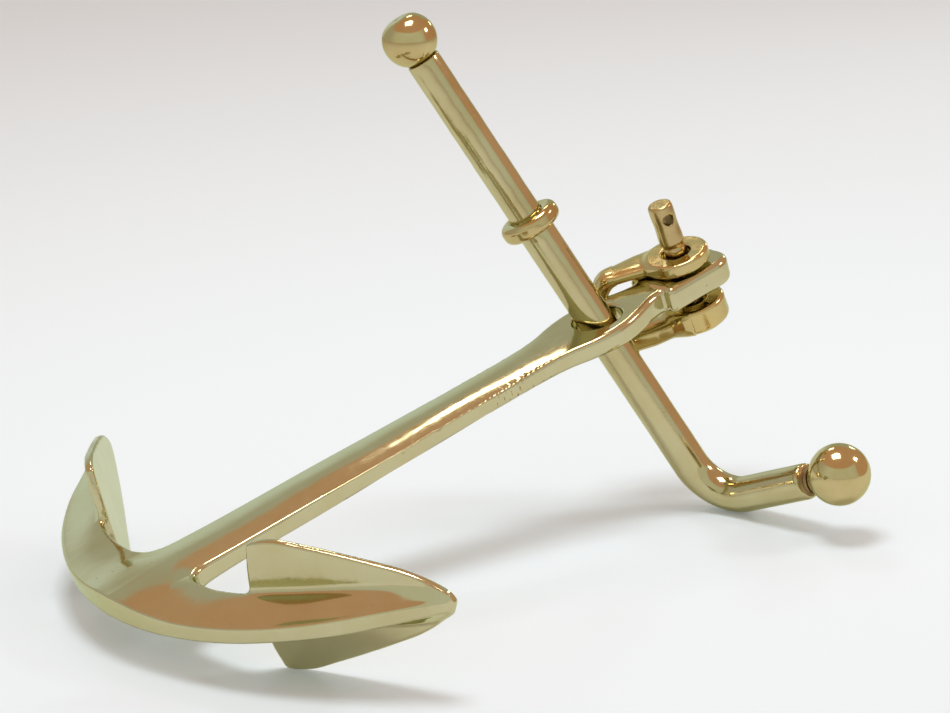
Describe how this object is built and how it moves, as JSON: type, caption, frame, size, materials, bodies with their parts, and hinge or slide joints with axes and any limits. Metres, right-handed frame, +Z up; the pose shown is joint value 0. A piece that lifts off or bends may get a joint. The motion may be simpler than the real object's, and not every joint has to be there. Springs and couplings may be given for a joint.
{
  "type": "boat anchor",
  "caption": "Polished bronze fisherman's anchor with curved arms, flat palms, a folding bent stock with ball ends, and a pinned shackle.",
  "frame": {"origin": "middle of the resting outline, on the table plane", "axes": "+Z up as the anchor rests on a table; +X along the ground from the crown towards the shackle end of the shank; +Y across the arms"},
  "size_m": [0.2598, 0.2202, 0.1864],
  "materials": {
    "bronze_body": "polished",
    "bronze_stock": "polished",
    "bronze_fittings": "polished"
  },
  "bodies": {
    "anchor": {"shank": "bronze_body", "crown_arms": "bronze_body", "palm_left": "bronze_body", "palm_right": "bronze_body"},
    "stock_slider": {"stock_collar": "bronze_stock"},
    "stock": {"stock_bar": "bronze_stock", "stock_ball_top": "bronze_stock", "stock_ball_end": "bronze_stock"},
    "shackle": {"shackle": "bronze_fittings"},
    "pin": {"shackle_pin": "bronze_fittings"}
  },
  "joints": [
    {"name": "stock_slide", "type": "slide", "parent": "anchor", "child": "stock_slider", "axis": [-0.4383, 0.247, 0.8642], "range_m": [-0.03, 0.04]},
    {"name": "stock_turn", "type": "hinge", "parent": "stock_slider", "child": "stock", "pos_m": [0.07442, 0.0006, 0.07003], "axis": [-0.4383, 0.247, 0.8642], "continuous": true},
    {"name": "shackle_swing", "type": "hinge", "parent": "anchor", "child": "shackle", "pos_m": [0.11433, 0, 0.07722], "axis": [-0.3456, 0, 0.9384], "range_deg": [-284, 0]},
    {"name": "pin_slide", "type": "slide", "parent": "shackle", "child": "pin", "axis": [-0.3456, 0, 0.9384], "range_m": [-0.004, 0.045]}
  ]
}
